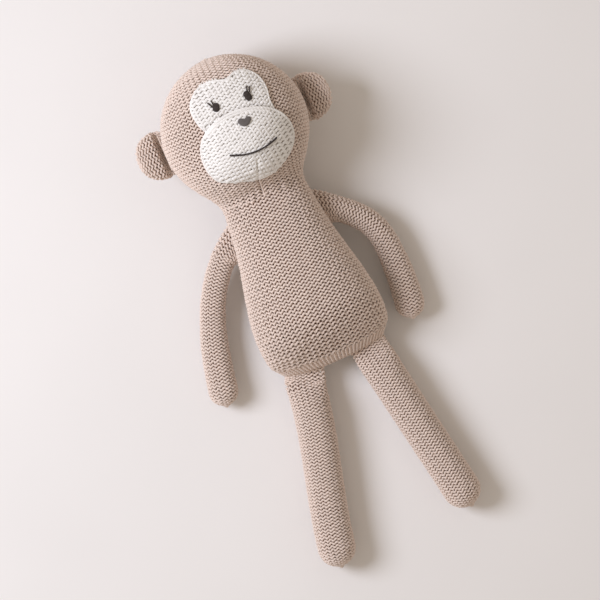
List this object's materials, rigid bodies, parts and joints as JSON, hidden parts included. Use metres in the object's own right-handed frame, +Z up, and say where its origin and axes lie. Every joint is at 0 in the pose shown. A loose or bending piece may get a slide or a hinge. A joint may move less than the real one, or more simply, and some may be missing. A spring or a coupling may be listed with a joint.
{
  "type": "stuffed monkey",
  "caption": "Knitted stuffed monkey lying on its back: round head with sewn mask, padded muzzle and side ears, pear-shaped torso, and soft arms and legs that swing at their seams.",
  "frame": {"origin": "middle of the flat of the torso's back, on the resting surface", "axes": "+X towards the toy's left hand, +Y towards the top of its head, +Z up out of its belly"},
  "size_m": [0.1612, 0.3465, 0.0946],
  "materials": {
    "body_yarn": "matte",
    "cream_yarn": "matte",
    "filling": "matte",
    "dark_thread": "matte",
    "nose_felt": "matte"
  },
  "bodies": {
    "torso": {"torso_skin": "body_yarn", "torso_stuffing": "filling", "neck_thread": "body_yarn", "left_shoulder_seam": "body_yarn", "right_shoulder_seam": "body_yarn", "left_hip_seam": "body_yarn", "right_hip_seam": "body_yarn"},
    "head": {"head_skin": "body_yarn", "head_stuffing": "filling", "crown_thread": "body_yarn", "chin_stitch": "body_yarn", "eye_mask": "cream_yarn", "muzzle_patch": "cream_yarn", "muzzle_padding": "filling", "left_eye": "dark_thread", "right_eye": "dark_thread", "left_lashes": "dark_thread", "right_lashes": "dark_thread", "nose": "nose_felt", "mouth": "dark_thread", "left_ear_seam": "body_yarn", "right_ear_seam": "body_yarn"},
    "left_ear": {"left_ear_knit": "body_yarn", "left_ear_padding": "filling"},
    "right_ear": {"right_ear_knit": "body_yarn", "right_ear_padding": "filling"},
    "left_arm": {"left_arm_skin": "body_yarn", "left_arm_stuffing": "filling", "left_hand_thread": "body_yarn"},
    "right_arm": {"right_arm_skin": "body_yarn", "right_arm_stuffing": "filling", "right_hand_thread": "body_yarn"},
    "left_leg": {"left_leg_skin": "body_yarn", "left_leg_stuffing": "filling", "left_foot_thread": "body_yarn"},
    "right_leg": {"right_leg_skin": "body_yarn", "right_leg_stuffing": "filling", "right_foot_thread": "body_yarn"}
  },
  "joints": [
    {"name": "neck_nod", "type": "hinge", "parent": "torso", "child": "head", "pos_m": [0, 0.063, 0.031], "axis": [1, 0, 0], "range_deg": [0, 30]},
    {"name": "left_shoulder", "type": "hinge", "parent": "torso", "child": "left_arm", "pos_m": [0.041, 0.034, 0.02], "axis": [0, 0, 1], "range_deg": [-8, 75]},
    {"name": "right_shoulder", "type": "hinge", "parent": "torso", "child": "right_arm", "pos_m": [-0.041, 0.034, 0.02], "axis": [0, 0, -1], "range_deg": [-8, 75]},
    {"name": "left_hip", "type": "hinge", "parent": "torso", "child": "left_leg", "pos_m": [0.025, -0.0662, 0.017], "axis": [-1, 0, 0], "range_deg": [0, 85]},
    {"name": "right_hip", "type": "hinge", "parent": "torso", "child": "right_leg", "pos_m": [-0.025, -0.0662, 0.017], "axis": [-1, 0, 0], "range_deg": [0, 85]},
    {"name": "left_ear_fold", "type": "hinge", "parent": "head", "child": "left_ear", "pos_m": [0.0522, 0.1101, 0.028], "axis": [0, -1, 0], "range_deg": [-45, 40], "stiffness_Nm_per_rad": 0.01},
    {"name": "right_ear_fold", "type": "hinge", "parent": "head", "child": "right_ear", "pos_m": [-0.0522, 0.1135, 0.028], "axis": [0, 1, 0], "range_deg": [-45, 40], "stiffness_Nm_per_rad": 0.01}
  ]
}
